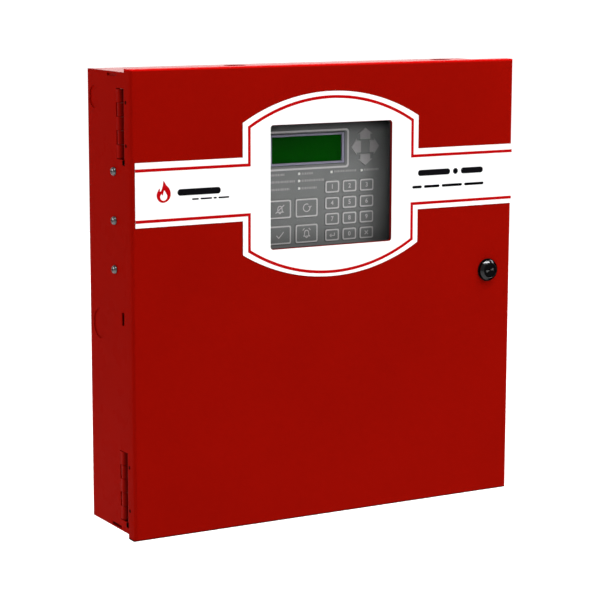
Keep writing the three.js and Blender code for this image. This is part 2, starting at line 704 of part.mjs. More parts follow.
// Pan-head screw with a cross recess, driven through the left wall into the bracket's ear.
function bracketScrew(height) {
  const y = behind(SCREW.depth);
  const face = BOX.left - GAP;
  const points = SCREW_HEAD.map(([radius, rise]) => new THREE.Vector2(radius, rise));
  const head = new THREE.LatheGeometry(points, 16).rotateZ(Math.PI / 2).translate(face, y, height);
  const shank = rodX(SCREW.shank, [face - 0.5, WALL.left + SCREW.length], y, height, 12);
  const recess = [face - 4, face - 2];
  const upright = block(recess, grown([y, y], SCREW.slotWidth), grown([height, height], SCREW.slot));
  const level = block(recess, grown([y, y], SCREW.slot), grown([height, height], SCREW.slotWidth));
  return cut(join(head, shank), upright, level);
}

// ---------------------------------------------------------------- electronics and batteries

// The circuit board, with its tallest parts standing on it.
function mainBoard() {
  const { left, right, bottom, top, back, thickness } = BOARD;
  const board = block([left, right], [-back - thickness, -back], [bottom, top]);
  const tallParts = BOARD_PARTS.map(({ x, front, z }) => block(x, [front, -back - thickness / 2], z));
  return join(board, ...tallParts);
}

// A row of wire entries: a block with a stepped front and one notch for each way.
function terminalStrip(ways) {
  const { pitch, rise, sill, shelf, height, notch } = TERMINAL_STRIP;
  const section = polygon([[0, 0], [-rise, 0], [-rise, sill], [-shelf, height], [0, height]]);
  const body = prismYZ(section, [0, ways * pitch]);
  const notches = Array.from({ length: ways }, (_, index) => {
    const centre = (index + 0.5) * pitch;
    return block(grown([centre, centre], notch / 2), [-rise - 1, 4 - rise], [1.5, 5]);
  });
  return cut(body, ...notches);
}

// Laminated core with a mounting foot at its back and a winding that stands out all round.
function transformer() {
  const { x, y, z, foot, coil, corner } = TRANSFORMER;
  const core = block(x, y, z);
  const base = block(grown(x, foot), [y[1] - 3, -SHEET - GAP], grown(z, -2 * foot));
  const [left, right] = grown(x, -coil);
  const [bottom, top] = grown(z, coil);
  const winding = plateXZ(roundedRectangle(left, right, bottom, top, corner), [y[0] - 4, y[1] - 2]);
  return join(core, base, winding);
}

// X of a battery's two spade terminals.
function terminalPoints(side) {
  const outer = side * (BATTERY.gap / 2 + BATTERY.width);
  const inner = side * (BATTERY.gap / 2);
  const inset = side * TERMINAL.inset;
  return { outer: outer - inset, inner: inner + inset };
}

function battery(side) {
  const { width, depth, height, floor, gap } = BATTERY;
  const xs = [side * gap / 2, side * (gap / 2 + width)].sort((a, b) => a - b);
  const ys = [BATTERY_BACK - depth, BATTERY_BACK];
  const top = floor + height;
  const body = block(xs, ys, [floor, top]);
  const lid = block(grown(xs, -3), grown(ys, -3), [top - 1, top + 1.5]);
  const tabs = Object.values(terminalPoints(side)).map((x) => block(
    grown([x, x], TERMINAL.width / 2),
    grown([TERMINAL_Y, TERMINAL_Y], TERMINAL.thickness / 2),
    [top, top + TERMINAL.height],
  ));
  return join(body, lid, ...tabs);
}

// Round wire of eight sides along a smooth route.
function wire(points, radius, steps) {
  const path = new THREE.CatmullRomCurve3(points.map(([x, y, z]) => new THREE.Vector3(x, y, z)));
  const section = new THREE.Shape();
  for (let side = 0; side < 8; side += 1) {
    const angle = side * Math.PI / 4;
    const corner = [radius * Math.cos(angle), radius * Math.sin(angle)];
    if (side === 0) section.moveTo(...corner);
    else section.lineTo(...corner);
  }
  return new THREE.ExtrudeGeometry(section, { steps, bevelEnabled: false, extrudePath: path });
}

const TERMINAL_TOP = BATTERY.floor + BATTERY.height + TERMINAL.height + 2 * GAP;
const TERMINAL_Y = BATTERY_BACK - TERMINAL.inset + TERMINAL.thickness / 2;
const LEAD_RADIUS = 1.6;

function batteryJumper() {
  const from = terminalPoints(-1).inner;
  const to = terminalPoints(1).inner;
  return wire([
    [from, TERMINAL_Y, TERMINAL_TOP],
    [from, TERMINAL_Y, TERMINAL_TOP + 3],
    [from + 3, TERMINAL_Y - 3, TERMINAL_TOP + 7],
    [from + 14, TERMINAL_Y - 10, TERMINAL_TOP + 9],
    [to - 14, TERMINAL_Y - 10, TERMINAL_TOP + 9],
    [to - 3, TERMINAL_Y - 3, TERMINAL_TOP + 7],
    [to, TERMINAL_Y, TERMINAL_TOP + 3],
    [to, TERMINAL_Y, TERMINAL_TOP],
  ], LEAD_RADIUS, 14);
}

function batteryLead(side, socketX) {
  const from = terminalPoints(side).outer;
  const boardFace = -BOARD.back - BOARD.thickness;
  return wire([
    [from, TERMINAL_Y, TERMINAL_TOP],
    [from, TERMINAL_Y, TERMINAL_TOP + 3],
    [from - side * 3, TERMINAL_Y - 4, TERMINAL_TOP + 6],
    [from - side * 22, TERMINAL_Y - 16, TERMINAL_TOP + 7],
    [socketX + side * 30, TERMINAL_Y - 20, TERMINAL_TOP + 9],
    [socketX + side * 8, TERMINAL_Y - 18, BOARD.bottom + 2],
    [socketX, boardFace - 14, BOARD.bottom + 10],
    [socketX, boardFace - 6, BOARD.bottom + 11],
    [socketX, boardFace - 2 * GAP, BOARD.bottom + 11],
  ], LEAD_RADIUS, 18);
}

// ---------------------------------------------------------------- assembly

const panel = new THREE.Group();

const cabinet = new THREE.Group();
cabinet.add(part('backbox_wrap', backboxWrap(), RED_PAINT));
cabinet.add(part('top_panel', endPanel(1, 30.5), RED_PAINT));
cabinet.add(part('bottom_panel', endPanel(-1, 56), RED_PAINT));
cabinet.add(part('lock_strike', lockStrike(), ZINC));
SCREW_HEIGHTS.forEach((height, index) => {
  cabinet.add(part(`bracket_screw_${index + 1}`, bracketScrew(height), CHROME));
});
panel.add(cabinet);

const door = new THREE.Group();
door.add(part('door_pan', doorPan(), RED_PAINT));
door.add(part('door_label', doorLabel(), WHITE_VINYL));
door.add(part('window_lens', windowLens(), CLEAR_ACRYLIC));
door.add(part('window_gasket', windowGasket(), BLACK_RUBBER));
door.add(part('lock_body', lockBody(), CHROME));
door.add(part('lock_trim_ring', lockTrimRing(), BLACK_PLASTIC));
door.add(part('lock_nut', lockNut(), ZINC));
door.add(part('lock_plug', lockPlug(), BLACK_PLASTIC));
door.add(part('lock_cam', lockCam(), ZINC));
door.add(part('lock_cam_screw', lockCamScrew(), ZINC));
panel.add(door);

for (const [place, span] of Object.entries(HINGE_SPANS)) {
  cabinet.add(part(`hinge_${place}_box_leaf`, boxLeaf(span), RED_PAINT));
  cabinet.add(part(`hinge_${place}_pin`, hingePin(span), ZINC));
  door.add(part(`hinge_${place}_door_leaf`, doorLeaf(span), RED_PAINT));
}

const display = new THREE.Group();
display.add(part('display_bracket', displayBracket(), GREY_FILM));
display.add(part('keypad_overlay', keypadOverlay(), GREY_FILM));
display.add(part('display_board', displayBoard(), BOARD_GREEN));
display.add(part('lcd_bezel', lcdBezel(), LCD_FRAME));
display.add(part('lcd_glass', lcdGlass(), LCD_GREEN));
display.add(part('led_light_guide', ledLightGuide(), LIGHT_GUIDE));
for (const key of KEYS) display.add(part(key.name, keyPiece(key), KEY_FILM));
panel.add(display);

const electronics = new THREE.Group();
const boardFace = -BOARD.back - BOARD.thickness - GAP;
electronics.add(part('main_board', mainBoard(), BOARD_GREEN));
const topStrip = part('terminal_strip_top', terminalStrip(22), TERMINAL_GREEN);
topStrip.position.set(-50, boardFace, BOARD.top - 20);
const sideStrip = part('terminal_strip_side', terminalStrip(15), TERMINAL_GREEN);
sideStrip.rotation.y = -Math.PI / 2;
sideStrip.position.set(BOARD.right - 6, boardFace, -30);
electronics.add(topStrip, sideStrip);
electronics.add(part('transformer', transformer(), CORE_STEEL));
electronics.add(part('battery_left', battery(-1), BATTERY_CASE));
electronics.add(part('battery_right', battery(1), BATTERY_CASE));
electronics.add(part('battery_jumper', batteryJumper(), BLACK_WIRE));
electronics.add(part('battery_lead_red', batteryLead(-1, -40), RED_WIRE));
electronics.add(part('battery_lead_black', batteryLead(1, -20), BLACK_WIRE));
panel.add(electronics);

export default panel;
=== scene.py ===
"""Fire alarm control panel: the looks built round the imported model. Metres, in the model's own frame."""

import json
import math

import bmesh
import bpy
from mathutils import Matrix, Vector
from mathutils.geometry import tessellate_polygon

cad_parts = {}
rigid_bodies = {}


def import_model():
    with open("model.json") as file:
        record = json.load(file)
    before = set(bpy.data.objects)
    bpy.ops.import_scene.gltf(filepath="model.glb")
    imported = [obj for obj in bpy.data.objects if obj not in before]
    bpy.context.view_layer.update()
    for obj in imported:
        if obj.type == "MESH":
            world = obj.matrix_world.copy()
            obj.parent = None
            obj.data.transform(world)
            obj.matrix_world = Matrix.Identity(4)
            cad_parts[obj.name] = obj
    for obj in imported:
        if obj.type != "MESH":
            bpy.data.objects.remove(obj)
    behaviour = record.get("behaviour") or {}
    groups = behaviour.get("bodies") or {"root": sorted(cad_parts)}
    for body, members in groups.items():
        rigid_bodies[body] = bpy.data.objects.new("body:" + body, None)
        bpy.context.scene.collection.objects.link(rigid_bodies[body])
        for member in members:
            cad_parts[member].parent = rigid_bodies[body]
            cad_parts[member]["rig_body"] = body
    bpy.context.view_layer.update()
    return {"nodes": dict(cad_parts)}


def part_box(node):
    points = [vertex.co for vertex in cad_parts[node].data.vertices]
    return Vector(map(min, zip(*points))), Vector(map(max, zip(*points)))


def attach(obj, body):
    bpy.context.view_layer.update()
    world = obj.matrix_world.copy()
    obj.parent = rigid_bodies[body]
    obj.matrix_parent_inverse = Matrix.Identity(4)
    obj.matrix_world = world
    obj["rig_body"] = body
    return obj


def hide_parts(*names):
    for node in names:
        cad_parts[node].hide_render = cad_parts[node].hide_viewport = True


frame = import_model()
NODES = frame["nodes"]
MM = 0.001


# ------------------------------------------------------------------ materials

def node_material(name, color, roughness, metallic=0.0, ior=1.5, coat=0.0, alpha=1.0,
                  tint=(0.06, 60), rough_span=(0.06, 90), grain=(0.15, 900, 0.0002)):
    """Principled material: its colour and roughness wander a little, and fine grain lifts the surface."""
    mat = bpy.data.materials.new(name)
    mat.use_nodes = True
    nodes, links = mat.node_tree.nodes, mat.node_tree.links
    shader = nodes["Principled BSDF"]
    shader.inputs["Metallic"].default_value = metallic
    shader.inputs["IOR"].default_value = ior
    shader.inputs["Coat Weight"].default_value = coat
    shader.inputs["Coat Roughness"].default_value = 0.12
    shader.inputs["Alpha"].default_value = alpha
    place = nodes.new("ShaderNodeTexCoord")

    def noise(scale, detail=3.0):
        texture = nodes.new("ShaderNodeTexNoise")
        texture.inputs["Scale"].default_value = scale
        texture.inputs["Detail"].default_value = detail
        links.new(place.outputs["Object"], texture.inputs["Vector"])
        return texture.outputs["Fac"]

    ramp = nodes.new("ShaderNodeValToRGB")
    amount, scale = tint
    ramp.color_ramp.elements[0].position = 0.3
    ramp.color_ramp.elements[1].position = 0.7
    ramp.color_ramp.elements[0].color = [c * (1 - amount) for c in color] + [1]
    ramp.color_ramp.elements[1].color = [min(1.0, c * (1 + amount)) for c in color] + [1]
    links.new(noise(scale), ramp.inputs["Fac"])
    links.new(ramp.outputs["Color"], shader.inputs["Base Color"])

    span, scale = rough_span
    spread = nodes.new("ShaderNodeMapRange")
    spread.inputs["To Min"].default_value = max(0.02, roughness - span)
    spread.inputs["To Max"].default_value = min(1.0, roughness + span)
    links.new(noise(scale), spread.inputs["Value"])
    links.new(spread.outputs["Result"], shader.inputs["Roughness"])

    strength, scale, distance = grain
    bump = nodes.new("ShaderNodeBump")
    bump.inputs["Strength"].default_value = strength
    bump.inputs["Distance"].default_value = distance
    links.new(noise(scale, 4.0), bump.inputs["Height"])
    links.new(bump.outputs["Normal"], shader.inputs["Normal"])
    return mat


RED_COLOR = (0.238, 0.0026, 0.0008)
RED = node_material("red_powder_coat", RED_COLOR, 0.28, ior=1.06,
                    tint=(0.035, 9), rough_span=(0.05, 40), grain=(0.10, 1100, 0.0001))
LABEL = node_material("label_vinyl", (0.90, 0.90, 0.895), 0.38, tint=(0.012, 30), grain=(0.05, 1500, 0.00005))
INK_GRAIN = (0.05, 2000, 0.00003)
PRINT_RED = node_material("print_red", (0.40, 0.0012, 0.003), 0.4, ior=1.08, tint=(0.03, 200),
                          grain=INK_GRAIN)
PRINT_BLACK = node_material("print_black", (0.003, 0.003, 0.004), 0.4, ior=1.08, tint=(0.1, 200),
                            grain=INK_GRAIN)
PRINT_GREY = node_material("print_grey", (0.42, 0.41, 0.41), 0.5, tint=(0.04, 300), grain=INK_GRAIN)
PRINT_DIM = node_material("print_dim", (0.27, 0.265, 0.265), 0.5, tint=(0.04, 300), grain=INK_GRAIN)
OVERLAY = node_material("overlay_film_painted_shade", (0.150, 0.156, 0.153), 0.42, ior=1.35, tint=(0.03, 80),
                        grain=(0.25, 2600, 0.00006))
KEY_FILM = node_material("key_film", (0.142, 0.148, 0.145), 0.40, ior=1.35, tint=(0.03, 80),
                         grain=(0.25, 2600, 0.00006))
BLACK_PLASTIC = node_material("black_plastic", (0.003, 0.003, 0.0035), 0.3, ior=1.25, tint=(0.15, 150),
                              grain=(0.08, 1500, 0.00005))
RUBBER = node_material("gasket_rubber", (0.012, 0.012, 0.013), 0.75, tint=(0.15, 90),
                       grain=(0.4, 1200, 0.0001))
ZINC = node_material("zinc_plate", (0.52, 0.53, 0.52), 0.36, metallic=0.9, tint=(0.12, 160),
                     rough_span=(0.12, 120), grain=(0.12, 800, 0.0001))
LCD_FRAME = node_material("lcd_frame", (0.24, 0.23, 0.31), 0.38, metallic=0.3, tint=(0.05, 100),
                          grain=(0.08, 1400, 0.00005))
LIGHT_GUIDE = node_material("light_guide", (0.72, 0.72, 0.70), 0.25, tint=(0.03, 200),
                            grain=(0.1, 1200, 0.00005))
BRACKET = node_material("bracket_zinc_steel", (0.34, 0.345, 0.34), 0.42, metallic=0.75, tint=(0.10, 50),
                        rough_span=(0.10, 70), grain=(0.10, 500, 0.0001))
BATTERY = node_material("battery_case", (0.020, 0.021, 0.024), 0.5, tint=(0.15, 80),
                        grain=(0.35, 1300, 0.0001))
RED_WIRE = node_material("red_wire", (0.50, 0.012, 0.010), 0.38, tint=(0.05, 200), grain=(0.08, 900, 0.00005))
BLACK_WIRE = node_material("black_wire", (0.010, 0.010, 0.011), 0.38, tint=(0.1, 200),
                           grain=(0.08, 900, 0.00005))
TERMINAL = node_material("terminal_green", (0.030, 0.26, 0.085), 0.42, tint=(0.06, 120),
                         grain=(0.12, 1300, 0.00005))
CHIP = node_material("chip_epoxy", (0.012, 0.012, 0.013), 0.55, tint=(0.15, 300), grain=(0.25, 2500, 0.00005))
TIN = node_material("tinned_lead", (0.62, 0.62, 0.60), 0.3, metallic=1.0, tint=(0.06, 400),
                    grain=(0.1, 2000, 0.00005))
RELAY_BLUE = node_material("relay_case", (0.015, 0.085, 0.32), 0.35, tint=(0.05, 200),
                           grain=(0.1, 1500, 0.00005))
AMBER = node_material("winding_tape", (0.62, 0.47, 0.08), 0.35, tint=(0.08, 150), grain=(0.1, 900, 0.0001))
PLUG_BLACK = node_material("lock_plug_black", (0.002, 0.002, 0.0022), 0.35, ior=1.08, tint=(0.15, 300),
                           grain=(0.1, 1500, 0.00003))
DARK_NICKEL = node_material("dark_nickel", (0.031, 0.0315, 0.0325), 0.11, metallic=1.0, tint=(0.05, 120),
                            rough_span=(0.03, 150), grain=(0.02, 600, 0.00003))
DARK_NICKEL.node_tree.nodes["Principled BSDF"].inputs["Specular Tint"].default_value = (0.15, 0.15, 0.15, 1)
RIVET_BLACK = node_material("rivet_black", (0.0015, 0.0015, 0.0016), 0.8, ior=1.01, tint=(0.2, 300),
                            grain=(0.1, 1500, 0.00003))
SHUTTER = node_material("keyway_shutter_steel", (0.13, 0.13, 0.13), 0.3, metallic=1.0, tint=(0.06, 300),
                        grain=(0.1, 900, 0.00003))


def shade_along(mat, axis, start, end, color):
    """Paints light or shade into a colour: turns it towards another along one of the object's own axes,
    between two places in metres.
    """
    nodes, links = mat.node_tree.nodes, mat.node_tree.links
    shader = nodes["Principled BSDF"]
    source = shader.inputs["Base Color"].links[0].from_socket
    split = nodes.new("ShaderNodeSeparateXYZ")
    links.new(next(n for n in nodes if n.type == "TEX_COORD").outputs["Object"], split.inputs["Vector"])
    span = nodes.new("ShaderNodeMapRange")
    span.interpolation_type = "SMOOTHSTEP"
    span.inputs["From Min"].default_value = start
    span.inputs["From Max"].default_value = end
    links.new(split.outputs[axis], span.inputs["Value"])
    mix = nodes.new("ShaderNodeMix")
    mix.data_type = "RGBA"
    mix.inputs["B"].default_value = (*color, 1)
    links.new(span.outputs["Result"], mix.inputs["Factor"])
    links.new(source, mix.inputs["A"])
    links.new(mix.outputs["Result"], shader.inputs["Base Color"])


def layered(name, base, over, scale, width, roughness, ior=1.5, grain=(0.1, 1500, 0.00005)):
    """Material whose second colour follows the lines of a brick pattern."""
    mat = node_material(name, base, roughness, ior=ior, tint=(0.04, 90), grain=grain)
    nodes, links = mat.node_tree.nodes, mat.node_tree.links
    shader = nodes["Principled BSDF"]
    place = next(n for n in nodes if n.type == "TEX_COORD")
    ramp = next(n for n in nodes if n.type == "VALTORGB")
    turn = nodes.new("ShaderNodeMapping")
    turn.inputs["Rotation"].default_value = (math.radians(90), 0, 0)
    links.new(place.outputs["Object"], turn.inputs["Vector"])
    mix = nodes.new("ShaderNodeMix")
    mix.data_type = "RGBA"
    mix.inputs["B"].default_value = (*over, 1)
    lines = nodes.new("ShaderNodeTexBrick")
    lines.inputs["Scale"].default_value = scale
    lines.inputs["Mortar Size"].default_value = width
    lines.inputs["Mortar Smooth"].default_value = 0.2
    lines.inputs["Brick Width"].default_value = 0.62
    lines.inputs["Row Height"].default_value = 0.19
    links.new(turn.outputs["Vector"], lines.inputs["Vector"])
    links.new(lines.outputs["Fac"], mix.inputs["Factor"])
    links.new(ramp.outputs["Color"], mix.inputs["A"])
    links.new(mix.outputs["Result"], shader.inputs["Base Color"])
    return mat


PCB = layered("circuit_board", (0.012, 0.095, 0.030), (0.022, 0.16, 0.052), 55, 0.03, 0.32)
LCD_GLASS = layered("lcd_green", (0.0008, 0.056, 0.0009), (0.0006, 0.046, 0.0007), 420, 0.06, 0.14, ior=1.06,
                    grain=(0.02, 900, 0.00002))
LAMINATIONS = layered("laminated_steel", (0.10, 0.105, 0.115), (0.035, 0.036, 0.04), 90, 0.09, 0.42)
LENS = node_material("clear_acrylic", (0.01, 0.011, 0.011), 0.04, ior=1.15, alpha=0.03, tint=(0.01, 60),
                     rough_span=(0.01, 60), grain=(0.01, 300, 0.00002))
FLOOR = node_material("studio_floor", (0.80, 0.80, 0.80), 0.9, ior=1.2, tint=(0.006, 2),
                      grain=(0.02, 20, 0.001))


# ------------------------------------------------------------------ mesh helpers

def place(name, bm, mat, body, slot=None, replaces=(), smooth=35, bevel=0.0, segments=2):
    """Turns a bmesh into a piece that rides on a body, with soft normals and, if asked, small bevels."""
    limit = math.radians(smooth)
    for face in bm.faces:
        face.smooth = True
    for edge in bm.edges:
        edge.smooth = len(edge.link_faces) == 2 and edge.calc_face_angle(0) < limit
    mesh = bpy.data.meshes.new(name)
    bm.to_mesh(mesh)
    bm.free()
    mesh.materials.append(mat)
    piece = bpy.data.objects.new(name, mesh)
    bpy.context.scene.collection.objects.link(piece)
    if bevel:
        cut = piece.modifiers.new("bevel", "BEVEL")
        cut.width = bevel
        cut.segments = segments
        cut.limit_method = "ANGLE"
        cut.angle_limit = math.radians(40)
        cut.harden_normals = True
    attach(piece, body)
    if replaces:
        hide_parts(*replaces)
    return piece


def refine(node, mat, bevel=0.0002, segments=2, slot=None, name=None):
    """A cleaned copy of a CAD node with rounded edges and smooth curves, standing for that node."""
    source = NODES[node]
    bm = bmesh.new()
    bm.from_mesh(source.data)
    bmesh.ops.remove_doubles(bm, verts=bm.verts, dist=2e-6)
    bmesh.ops.dissolve_limit(bm, angle_limit=math.radians(0.6), verts=bm.verts, edges=bm.edges)
    return place(name or f"{node}_finished", bm, mat, source["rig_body"], slot, (node,), 35, bevel, segments)


def plate(bm, outline, y0, y1, holes=()):
    """Adds a closed flat solid between two depths. Outlines are lists of (x, z) in millimetres."""
    loops = [outline, *holes]
    flat = [Vector((x * MM, z * MM, 0)) for loop in loops for x, z in loop]
    triangles = tessellate_polygon([[Vector((x * MM, z * MM, 0)) for x, z in loop] for loop in loops])
    front = [bm.verts.new((p.x, y0 * MM, p.y)) for p in flat]
    back = [bm.verts.new((p.x, y1 * MM, p.y)) for p in flat]
    for a, b, c in triangles:
        bm.faces.new((front[a], front[b], front[c]))
        bm.faces.new((back[c], back[b], back[a]))
    start = 0
    for loop in loops:
        count = len(loop)
        for i in range(count):
            a, b = start + i, start + (i + 1) % count
            bm.faces.new((front[a], back[a], back[b], front[b]))
        start += count
    bmesh.ops.recalc_face_normals(bm, faces=bm.faces)


def rounded(x0, x1, z0, z1, r, steps=5):
    """Outline of a rectangle with round corners."""
    points = []
    left, right, low, high = x0 + r, x1 - r, z0 + r, z1 - r
    for cx, cz, first in ((right, low, -90), (right, high, 0), (left, high, 90), (left, low, 180)):
        for i in range(steps + 1):
            a = math.radians(first + 90 * i / steps)
            points.append((cx + r * math.cos(a), cz + r * math.sin(a)))
    return points


def offset(points, distance, closed):
    """Points moved sideways by a distance, with mitred corners."""
    moved = []
    count = len(points)
    for i, (x, z) in enumerate(points):
        before = points[i - 1] if closed or i else None
        after = points[(i + 1) % count] if closed or i < count - 1 else None
        normals = []
        for a, b in ((before, (x, z)), ((x, z), after)):
            if a is None or b is None:
                continue
            dx, dz = b[0] - a[0], b[1] - a[1]
            length = math.hypot(dx, dz)
            normals.append((-dz / length, dx / length))
        nx, nz = sum(n[0] for n in normals), sum(n[1] for n in normals)
        scale = len(normals) / (nx * nx + nz * nz)
        moved.append((x + nx * distance * scale, z + nz * distance * scale))
    return moved


def line(bm, points, width, y0, y1):
    """Adds a printed line of even width along open points."""
    plate(bm, offset(points, width / 2, False) + offset(points, -width / 2, False)[::-1], y0, y1)


def lathe(bm, profile, centre, axis="Y", segments=96):
    """Adds a turned solid. The closed profile is given as radius and place along the axis, in millimetres."""
    rings = []
    for radius, along in profile:
        ring = []
        for i in range(segments if radius > 1e-6 else 1):
            a = 2 * math.pi * i / segments
            u, v = radius * math.cos(a), radius * math.sin(a)
            co = {"Y": (u, along, v), "X": (along, u, v), "Z": (u, v, along)}[axis]
            ring.append(bm.verts.new([(c + o) * MM for c, o in zip(co, centre)]))
        rings.append(ring)
    for low, high in zip(rings, rings[1:]):
        for i in range(segments):
            j = (i + 1) % segments
            corners = [low[i % len(low)], low[j % len(low)], high[j % len(high)], high[i % len(high)]]
            unique = list(dict.fromkeys(corners))
            if len(unique) > 2:
                bm.faces.new(unique)
    bmesh.ops.recalc_face_normals(bm, faces=bm.faces)


def brick(bm, x, y, z, round_by=0.0):
    """Adds a box between spans in millimetres, its edges rounded if asked."""
    made = bmesh.ops.create_cube(bm, size=1.0)["verts"]
    centre = Vector([(s[0] + s[1]) / 2 * MM for s in (x, y, z)])
    size = [(s[1] - s[0]) * MM for s in (x, y, z)]
    for v in made:
        v.co = Vector([c * s for c, s in zip(v.co, size)]) + centre
    if round_by:
        edges = list(dict.fromkeys(e for v in made for e in v.link_edges))
        bmesh.ops.bevel(bm, geom=edges, offset=round_by * MM, segments=2, profile=0.6, affect="EDGES")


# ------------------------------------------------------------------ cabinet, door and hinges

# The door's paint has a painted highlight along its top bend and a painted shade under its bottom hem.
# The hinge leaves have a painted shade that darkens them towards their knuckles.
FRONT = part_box("door_pan")[0].y / MM
DOOR_TOP, DOOR_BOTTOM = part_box("door_pan")[1].z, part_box("door_pan")[0].z
door_red_painted_light, hinge_red_painted_shade, box_red = RED.copy(), RED.copy(), RED.copy()
door_red_painted_light.name = "red_powder_coat_door_painted_light"
hinge_red_painted_shade.name = "red_powder_coat_hinge_painted_shade"
box_red.name = "red_powder_coat_box"
for paint in (box_red, door_red_painted_light):
    paint.node_tree.nodes["Principled BSDF"].inputs["IOR"].default_value = 1.025
# Painted highlight along the door's top bend, then painted shade under its bottom hem.
shade_along(door_red_painted_light, "Z", DOOR_TOP - 0.0020, DOOR_TOP - 0.0010, (0.46, 0.0015, 0.001))
shade_along(door_red_painted_light, "Z", DOOR_BOTTOM + 0.0022, DOOR_BOTTOM + 0.0007, (0.006, 0.0003, 0.0003))
# Painted shade on the hinge leaves: dark towards the knuckles, back to plain red on the flange plate.
shade_along(hinge_red_painted_shade, "Y", (FRONT + 31.5) * MM, (FRONT + 21.5) * MM, (0.004, 0.0002, 0.0002))
shade_along(hinge_red_painted_shade, "Y", (FRONT + 18.4) * MM, (FRONT + 17.4) * MM, RED_COLOR)
refine("backbox_wrap", box_red, bevel=0.00035, segments=3, slot="red_paint")
end_red = node_material("red_powder_coat_end", RED_COLOR, 0.28, ior=1.06,
                        tint=(0.035, 9), rough_span=(0.03, 40), grain=(0.02, 700, 0.00005))
for name in ("top_panel", "bottom_panel"):
    refine(name, end_red, bevel=0.00035, segments=3, slot="red_paint")
refine("door_pan", door_red_painted_light, bevel=0.00035, segments=3, slot="red_paint")
for level in ("upper", "lower"):
    refine(f"hinge_{level}_box_leaf", hinge_red_painted_shade, slot="red_paint")
    refine(f"hinge_{level}_door_leaf", hinge_red_painted_shade, slot="red_paint")
    refine(f"hinge_{level}_pin", ZINC, slot="zinc_plate")
for name in ("lock_strike", "lock_nut", "lock_cam", "lock_cam_screw"):
    refine(name, ZINC, slot="zinc_plate")
for number in (1, 2, 3):
    refine(f"bracket_screw_{number}", SHUTTER, bevel=0.00012, slot="chrome")

# Rivet ends in the hinge flange, and a small black plate under each hinge that is a painted shadow at the
# groove's end.
RIVET_PROFILE = [(0, -207.06), (1.5, -207.05), (1.75, -207.0), (1.75, -206.6), (0, -206.6)]
bm = bmesh.new()
for z in (186.2, 147.4, -147.8, -188.6):
    lathe(bm, RIVET_PROFILE, (0, FRONT + 10.7, z), "X", 24)
place("hinge_rivet_ends", bm, RIVET_BLACK, "door", "black_plastic", smooth=30)
# Black plates under the hinges: painted shadow, not a real part.
bm = bmesh.new()
for z in (134.0, -202.0):
    brick(bm, (-205.8, -205.2), (FRONT + 18.2, FRONT + 21.4), (z - 4.6, z - 0.5), 0.2)
place("hinge_end_shadow_plates", bm, RIVET_BLACK, "cabinet", "gasket_rubber", smooth=30)

refine("window_gasket", RUBBER, slot="gasket_rubber")
# A thin black band lines the rear part of the window's inner lip: a painted shade there.
bm = bmesh.new()
plate(bm, rounded(-65.35, 66.75, 45.55, 161.35, 3.1, 8), FRONT + 2.4, FRONT + 4.9,
      holes=[rounded(-65.05, 66.45, 45.85, 161.05, 2.85, 8)])
place("window_lip_shade_band", bm, RUBBER, "door", "gasket_rubber", smooth=30)
refine("window_lens", LENS, slot="clear_acrylic")


# ------------------------------------------------------------------ door label and its print

refine("door_label", LABEL, bevel=0.00005, slot="label_white")
label_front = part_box("door_label")[0].y / MM
ON_LABEL = (label_front - 0.12, label_front - 0.03)
SHIELD_X, SHIELD_Z, STRIPE_HALF, STRIPE_SHOULDER, STRIPE_APEX = 1.0, 103.1, 88.8, 57.4, 82.6
STRIPE_WIDTH = 2.8
LABEL_ENDS = (-203.6, 206.2)


def stripe(sign, band):
    """One pin-stripe: along the band, round the shield's arch, and on to the label's other end."""
    rise = STRIPE_APEX - STRIPE_SHOULDER
    radius = (STRIPE_HALF ** 2 + rise ** 2) / (2 * rise)
    half = math.asin(STRIPE_HALF / radius)
    arch = []
    for i in range(33):
        a = -half + 2 * half * i / 32
        height = STRIPE_APEX - radius + radius * math.cos(a)
        arch.append((SHIELD_X + radius * math.sin(a), SHIELD_Z + sign * height))
    left, right = SHIELD_X - STRIPE_HALF, SHIELD_X + STRIPE_HALF
    return [(LABEL_ENDS[0], band), (left, band), *arch, (right, band), (LABEL_ENDS[1], band)]


bm = bmesh.new()
line(bm, stripe(1, 125.9), STRIPE_WIDTH, *ON_LABEL)
line(bm, stripe(-1, 79.9), STRIPE_WIDTH, *ON_LABEL)
place("label_stripes", bm, PRINT_RED, "door", "label_white", smooth=20)

FLAME = [(0, 10.2), (2.6, 6.4), (5.4, 3.4), (6.9, -0.6), (6.6, -4.6), (4.4, -7.8), (1.2, -9.4), (-1.6, -9.5),
         (-4.8, -8.0), (-6.8, -4.8), (-7.0, -1.4), (-5.6, 1.6), (-4.2, 3.6), (-3.6, 0.6), (-2.2, 2.2),
         (-1.0, 5.6)]
HEART = [(0.4, 1.6), (2.2, -0.8), (3.5, -3.4), (2.9, -6.0), (0.9, -7.5), (-1.5, -7.4), (-3.2, -5.8),
         (-3.5, -3.4), (-2.2, -1.6), (-1.0, -2.8)]


def smooth_loop(points, steps=4):
    """Closed Catmull-Rom curve through the points."""
    made = []
    count = len(points)
    for i in range(count):
        p0, p1, p2, p3 = (points[(i + k) % count] for k in (-1, 0, 1, 2))
        for s in range(steps):
            t = s / steps
            made.append(tuple(
                0.5 * (2 * b + (c - a) * t
                       + (2 * a - 5 * b + 4 * c - d) * t * t
                       + (3 * b - a - 3 * c + d) * t ** 3)
                for a, b, c, d in zip(p0, p1, p2, p3)))
    return made


MARK = (-175.3, 105.5)
bm = bmesh.new()
plate(bm, smooth_loop([(x + MARK[0], z + MARK[1]) for x, z in FLAME]), *ON_LABEL,
      holes=[smooth_loop([(x + MARK[0], z + MARK[1]) for x, z in HEART])])
place("label_flame_mark", bm, PRINT_RED, "door", "label_white", smooth=20)


def bars(bm, spans, z0, z1, depth):
    """Adds a row of printed bars with round ends."""
    for x0, x1 in spans:
        plate(bm, rounded(x0, x1, z0, z1, (z1 - z0) / 2 * 0.96), *depth)


